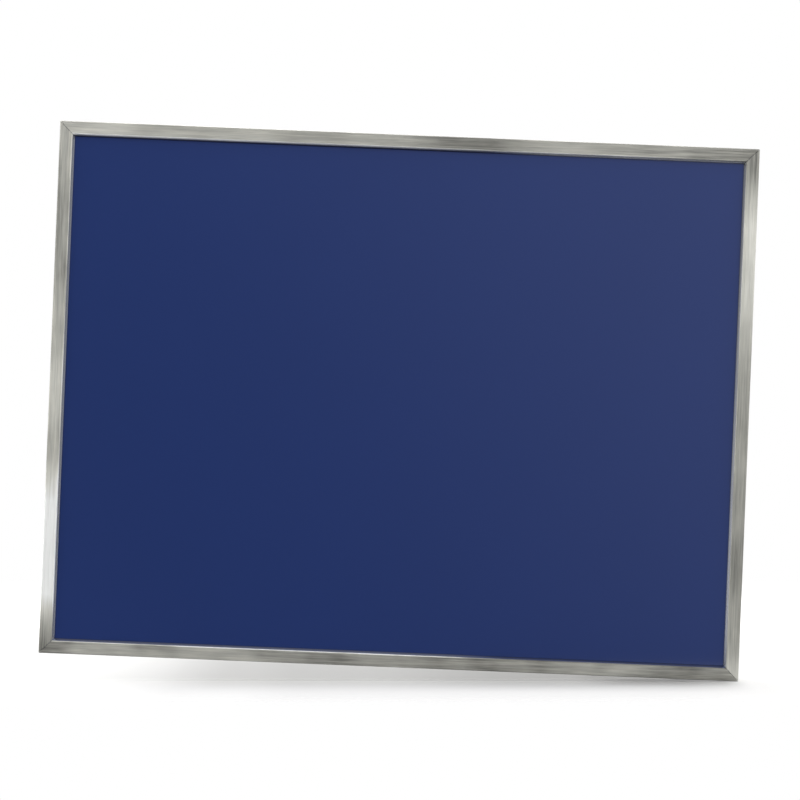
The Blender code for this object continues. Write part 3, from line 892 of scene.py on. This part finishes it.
class MAGNETIC_BOARD_OT_spring_clips(BoardOperator):
    """Finish the bowed spring clips between the panel and the rails' webs"""

    bl_idname = "magnetic_board.spring_clips"
    bl_label = "Spring Clips"

    def build(self):
        steel = spring_finish(settings("colours").spring_steel)
        for node in SPRINGS:
            dress(node, steel)


class MAGNETIC_BOARD_OT_pressed_plates(BoardOperator):
    """Round the edges of the corner angles, backing angles and hanger plates, and plate them in zinc"""

    bl_idname = "magnetic_board.pressed_plates"
    bl_label = "Pressed Plates"

    def build(self):
        width = settings("hardware").plate_softening
        nodes = [f"{kind}_{corner}" for kind in ("corner_angle", "backing_angle") for corner in CORNERS]
        nodes += [f"hanger_plate_{hand}" for hand in HANDS]
        for node in nodes:
            add_piece(f"plated_{node}", softened_copy(node, width), zinc(), "board", [node])


class MAGNETIC_BOARD_OT_set_screws(BoardOperator):
    """Wind the threads of the corner and hanger set screws and cut their slots"""

    bl_idname = "magnetic_board.set_screws"
    bl_label = "Set Screws"

    sides = 32
    rings_per_turn = 8
    # The name, the nodes and the random seed of each set
    sets = (("corner_set_screws", CORNER_SCREWS, 3), ("hanger_set_screws", HANGER_SCREWS, 11))

    def build(self):
        tree = screw_tree()
        for name, nodes, seed in self.sets:
            unit = self.screw(tree, extent(nodes[0]))
            mesh = copies_at(nodes, unit, zinc(), math.tau, seed)
            add_piece(name, soften_shading(name, mesh), zinc(), "board", nodes)

    def screw(self, tree, size):
        sizes = settings("hardware")
        values = {
            "Radius": size.x / 2,
            "Length": size.y,
            "Pitch": sizes.thread_pitch,
            "Thread Depth": sizes.thread_depth,
            "Chamfer": sizes.screw_chamfer,
            "Slot Width": sizes.driver_slot_width,
            "Slot Depth": sizes.driver_slot_depth,
            "Sides": self.sides,
            "Rings": round(size.y / sizes.thread_pitch * self.rings_per_turn),
            "Material": zinc(),
        }
        return grow(tree, mesh_from("screw", [(0, 0, 0)]), values)


class MAGNETIC_BOARD_OT_hanging_rings(BoardOperator):
    """Bend the two hanging rings from round wire"""

    bl_idname = "magnetic_board.hanging_rings"
    bl_label = "Hanging Rings"

    bend_steps = 48
    corner_steps = 10
    wire_sides = 20

    def build(self):
        tree = wire_tree()
        for joint in frame["joints"]:
            body = joint["child"]
            node = f"hanging_{body}"
            loop = self.loop(Vector(joint["pos_m"]), extent(node))
            wire = settings("hardware").ring_wire_radius
            mesh = grow(tree, loop, {"Wire Radius": wire, "Sides": self.wire_sides, "Material": zinc()})
            mesh.shade_smooth()
            add_piece(f"wire_{node}", mesh, zinc(), body, [node])

    def loop(self, axis, size):
        """A D hanging from its straight bar, which lies along X through a point on the axis."""
        sizes = settings("hardware")
        wire, turn = sizes.ring_wire_radius, sizes.ring_corner_radius
        half = size.x / 2 - wire
        bow = half + 2 * wire - size.z
        path = [
            *arc((half - turn, -turn), turn, math.pi / 2, 0, self.corner_steps),
            *arc((0, bow), half, 0, -math.pi, self.bend_steps),
            *arc((turn - half, -turn), turn, math.pi, math.pi / 2, self.corner_steps),
        ]
        points = [axis + Vector((x, 0, z)) for x, z in path]
        edges = [(i, (i + 1) % len(points)) for i in range(len(points))]
        return mesh_from("ring_path", points, edges)


class MAGNETIC_BOARD_OT_wall_bumpers(BoardOperator):
    """Turn the four rubber bumpers, each with a mould mark in its face"""

    bl_idname = "magnetic_board.wall_bumpers"
    bl_label = "Wall Bumpers"

    sides = 48
    rim_steps = 6

    def build(self):
        rubber = rubber_finish(settings("colours").rubber)
        unit = self.stud(extent(BUMPERS[0]))
        mesh = soften_shading("rubber_bumpers", copies_at(BUMPERS, unit, rubber, 0.0, 0))
        add_piece("rubber_bumpers", mesh, rubber, "board", BUMPERS)

    def stud(self, size):
        sizes = settings("hardware")
        radius, height = size.x / 2, size.y
        face, rim = sizes.bumper_face_radius, sizes.bumper_rim_radius
        dimple, sunk = sizes.bumper_dimple_radius, sizes.bumper_dimple_depth
        corners = [
            ((0, 0), 0),
            ((radius, 0), rim / 2),
            ((face, height), rim),
            ((dimple, height), rim / 2),
            ((0, height - sunk), 0),
        ]
        return turned(rounded(corners, self.rim_steps), self.sides)


def turned(profile, sides):
    """A closed solid turned round Z from a profile of (radius, height) that starts and ends on the axis."""
    points = [(radius, 0, height) for radius, height in profile]
    line = mesh_from("profile", points, [(i, i + 1) for i in range(len(points) - 1)])
    turning = {"steps": sides, "use_merge_vertices": True, "merge_threshold": MERGE_DISTANCE}
    return apply_modifier("turned", line, "SCREW", {**turning, "use_normal_calculate": True})


# The camera's sensor, in millimetres
SENSOR_WIDTH = 36.0

# The floor, and where it fades out, all round and towards the camera. The gap keeps the board's
# lower right corner just clear of it.
FLOOR_RADIUS = 1.3
RIM_FADE = (0.8, 1.25)
FRONT_FADE = (0.11, 0.19)
CONTACT_GAP = 0.0003

# Painted shadow and painted light in the floor's own glow, over its real shadow: where each starts and
# ends, and what it is at both ends. They run rightward, except that those named ahead run towards the
# camera, those named left to the left, BEHIND_FRONT and FLOOR_REAR away from the camera, and UNDER_REACH
# both ways from UNDER_MIDDLE.
SHADOW_START = (-0.22, -0.14, 0.02, 0.18)
SHADOW_MIDDLE = (-0.03, 0.14, 0, 0.13)
SHADOW_CORNER = (0.26, 0.31, 1, 0.7)
SHADOW_AHEAD = (0.025, 0.105, 1, 0)
CONTACT = (0.16, 0.23, 0, 0.15)
CONTACT_AHEAD = (0.025, 0.065, 1, 0)
UNDER_LIGHT = (-0.2, 0.3, 0.05, 0.25)
UNDER_REACH = (0.005, 0.013, 1, 0)
UNDER_MIDDLE = 0.011
BEHIND_FRONT = (FRONT_Y, 0, 0, 0.14)
PAST_CORNER = (0.3, 0.328, 1, 0)
LEFT_NEAR = (0.08, 0.14, 0, 0.05)
LEFT_FAR = (0.18, 0.28, 0, 0.17)
FLOOR_REAR = (0.2, 0.6, 0, 0.5)
FLOOR_GLOW = 0.51

# The room: its dome, the direction in which it gets brighter, and its light panel
ROOM_RADIUS = 3.4
ROOM_REAR = -0.3
ROOM_SLOPE = (0.82, 0.57)
ROOM_SLOPE_BAND = (-0.7, 2.0)
PANEL_NEAR_EDGE = (-1.35, -1.2, 1, 0)
PANEL_FAR_PART = (-2.2, -2.0, 0.5, 1)
PANEL_FOOT = (-1.2, -1.0)

# Each softbox's place, aim, width and height
SOFTBOXES = {
    "overhead": ((-0.1, 0.36, 1.9), (-0.1, 0.36, BOARD_BOTTOM), 1.6, 0.72),
    "key": ((1.15, -1.0, 1.2), (0, 0, 0), 2.0, 1.7),
}


def add_camera(stage):
    """A level camera straight in front, rolled so that the board leans clockwise in the picture."""
    metres_per_px = BOARD_WIDTH / stage.board_width_px
    data = bpy.data.cameras.new("camera")
    data.lens = stage.lens
    data.sensor_width = SENSOR_WIDTH
    camera = new_object("camera", data)
    distance = stage.picture_width * metres_per_px * stage.lens / SENSOR_WIDTH
    roll = Matrix.Rotation(-stage.tilt, 3, "Y")
    middle = stage.picture_width / 2
    across = (middle - stage.board_centre_x_px) * metres_per_px
    rise = (stage.board_centre_y_px - middle) * metres_per_px
    camera.location = BOARD_CENTRE + roll @ Vector((across, FRONT_Y - distance, rise))
    camera.rotation_euler = (roll @ Matrix.Rotation(math.pi / 2, 3, "X")).to_euler()
    bpy.context.scene.camera = camera


def add_floor(tilt):
    """A round pale floor, level in the picture, that the board's lower right corner stands on."""
    level = Matrix.Rotation(-tilt, 4, "Y")
    corner = Vector((BOARD_RIGHT, 0, BOARD_BOTTOM - CONTACT_GAP))
    bm = bmesh.new()
    bmesh.ops.create_circle(bm, cap_ends=True, segments=96, radius=FLOOR_RADIUS)
    bm.transform(Matrix.Translation(corner) @ level @ Matrix.Translation((-BOARD_RIGHT, 0, 0)))
    add_stage_mesh("floor", bm, new_material("pale_floor", floor_surface))


def floor_surface(tree):
    """White away from the board, grey in its real shadow and in a painted shadow, and clear at the rim and
    from below.
    """
    x, y, _ = tree.axes(tree.place())
    # Painted shadow in front of the board, deeper to the right
    shadow = tree.ramp(x, *SHADOW_START) + tree.ramp(x, *SHADOW_MIDDLE)
    shadow *= tree.ramp(x, *SHADOW_CORNER) * tree.ramp(0 - y, *SHADOW_AHEAD)
    # Painted contact shadow by the corner that the board stands on
    contact_shadow = tree.ramp(x, *CONTACT) * tree.ramp(0 - y, *CONTACT_AHEAD)
    # Painted light under the rail, which takes some painted shadow off where the lamps' real shadow is
    # already deep
    painted_relief_under_rail = tree.ramp(x, *UNDER_LIGHT)
    painted_relief_under_rail *= tree.ramp(abs(y + UNDER_MIDDLE), *UNDER_REACH)
    # All the painted shadow, also behind the board's front, ending past its lower right corner
    painted_shadow = shadow + contact_shadow + tree.ramp(y, *BEHIND_FRONT) - painted_relief_under_rail
    painted_shadow *= tree.ramp(x, *PAST_CORNER)
    # Painted light at the left, where the board stands clear of the floor
    painted_light_left = tree.ramp(0 - x, *LEFT_NEAR) + tree.ramp(0 - x, *LEFT_FAR)
    rearward = tree.ramp(y, *FLOOR_REAR)
    # The floor's own glow, which makes it white, less the painted shadow
    glow_and_painted_shadow = tree.math("MAXIMUM", painted_light_left + rearward + FLOOR_GLOW - painted_shadow, 0)
    look = {
        "Base Color": settings("colours").floor,
        "Roughness": 0.9,
        "Specular IOR Level": 0.1,
        "Emission Color": tree.mix(seen_rays(tree), (0, 0, 0), shade(tree, (1, 1, 1), glow_and_painted_shadow)),
        "Emission Strength": 1.0,
    }
    paper = tree.add("ShaderNodeBsdfPrincipled", inputs=look)
    distance = tree.add("ShaderNodeVectorMath", {"operation": "LENGTH"}, {0: tree.place()}, "Value")
    fade = tree.math("MAXIMUM", tree.ramp(distance, *RIM_FADE), tree.ramp(0 - y, *FRONT_FADE))
    underside = tree.add("ShaderNodeNewGeometry", output="Backfacing")
    clear = tree.add("ShaderNodeBsdfTransparent")
    share = tree.math("MAXIMUM", fade, underside)
    return tree.add("ShaderNodeMixShader", inputs={0: share, 1: paper, 2: clear})


def seen_rays(tree):
    """1 for rays of the camera, of reflections and through glass, and 0 for the rest."""
    rays = tree.add("ShaderNodeLightPath", output="Is Camera Ray")
    seen = tree.math("MAXIMUM", rays, rays.output("Is Glossy Ray"))
    return tree.math("MAXIMUM", seen, rays.output("Is Transmission Ray"))


def add_room(stage):
    """The room on the camera's side, a dome that only reflections and soft light see."""
    bm = bmesh.new()
    bmesh.ops.create_uvsphere(bm, u_segments=48, v_segments=24, radius=ROOM_RADIUS)
    behind = [vert for vert in bm.verts if vert.co.y > ROOM_REAR]
    bmesh.ops.delete(bm, geom=behind, context="VERTS")
    bmesh.ops.reverse_faces(bm, faces=bm.faces)
    material = new_material("room_side", lambda tree: room_surface(tree, stage))
    room = add_stage_mesh("room_side", bm, material)
    room.visible_camera = False


def room_surface(tree, stage):
    """Dim at the lower left, brighter at the upper right, with a tall light panel at the left."""
    x, _, z = tree.axes(tree.place())
    rightward, upward = ROOM_SLOPE
    slope = x * rightward + z * upward
    slope = tree.ramp(slope, *ROOM_SLOPE_BAND, stage.room_dim, stage.room_bright)
    panel = tree.ramp(x, *PANEL_NEAR_EDGE) * tree.ramp(x, *PANEL_FAR_PART)
    panel *= tree.ramp(z, *PANEL_FOOT)
    level = tree.math("MAXIMUM", slope, panel * stage.room_left)
    return tree.add("ShaderNodeEmission", inputs={"Color": (1, 1, 1), "Strength": level})


def add_stage_mesh(name, bm, material):
    mesh = new_mesh(name, bm)
    mesh.materials.append(material)
    obj = new_object(name, mesh)
    return obj


def add_world(stage):
    """White for the camera and for reflections, and a plain even light for everything else."""
    world = bpy.data.worlds.new("studio")
    world.use_nodes = True
    bpy.context.scene.world = world
    tree = Tree(world.node_tree)
    strength = seen_rays(tree) * (stage.backdrop - stage.ambient) + stage.ambient
    light = tree.add("ShaderNodeBackground", inputs={"Color": (1, 1, 1), "Strength": strength})
    tree.add("ShaderNodeOutputWorld", inputs={"Surface": light})


def add_softbox(name, place, aim, width, height, brightness):
    data = bpy.data.lights.new(name, "AREA")
    data.shape = "RECTANGLE"
    data.size = width
    data.size_y = height
    data.energy = brightness * math.pi * width * height
    light = new_object(name, data)
    light.location = place
    light.rotation_euler = (Vector(aim) - Vector(place)).to_track_quat("-Z", "Y").to_euler()
    light.visible_camera = False


class MAGNETIC_BOARD_OT_stage(BoardOperator):
    """Set up the camera, the pale floor, the softboxes and the white backdrop"""

    bl_idname = "magnetic_board.stage"
    bl_label = "Stage"

    def build(self):
        stage = settings("stage")
        add_camera(stage)
        add_floor(stage.tilt)
        add_room(stage)
        add_world(stage)
        for name, layout in SOFTBOXES.items():
            add_softbox(f"{name}_softbox", *layout, getattr(stage, name))
        bpy.context.scene.view_settings.view_transform = "Standard"


SETTINGS = {
    "rails": RailSizes,
    "hardware": HardwareSizes,
    "colours": FinishColours,
    "stage": StageSettings,
}
# The operators in the order in which they stand here
STEPS = BoardOperator.__subclasses__()


class MAGNETIC_BOARD_PT_sidebar(Panel):
    """The board's steps and settings"""

    bl_idname = "MAGNETIC_BOARD_PT_sidebar"
    bl_label = "Magnetic Board"
    bl_space_type = "VIEW_3D"
    bl_region_type = "UI"
    bl_category = "Magnetic Board"

    def draw(self, context):
        for step in STEPS:
            self.layout.operator(step.bl_idname)
        for name, group in SETTINGS.items():
            box = self.layout.box()
            box.label(text=name.title())
            for key in group.__annotations__:
                box.prop(settings(name), key)


CLASSES = (*SETTINGS.values(), *STEPS, MAGNETIC_BOARD_PT_sidebar)


def register():
    for cls in CLASSES:
        bpy.utils.register_class(cls)
    for name, group in SETTINGS.items():
        setattr(bpy.types.Scene, f"magnetic_board_{name}", PointerProperty(type=group))


def unregister():
    for name in SETTINGS:
        delattr(bpy.types.Scene, f"magnetic_board_{name}")
    for cls in reversed(CLASSES):
        bpy.utils.unregister_class(cls)


def main():
    register()
    for step in STEPS:
        group, operator = step.bl_idname.split(".")
        getattr(getattr(bpy.ops, group), operator)()


if __name__ == "__main__":
    main()
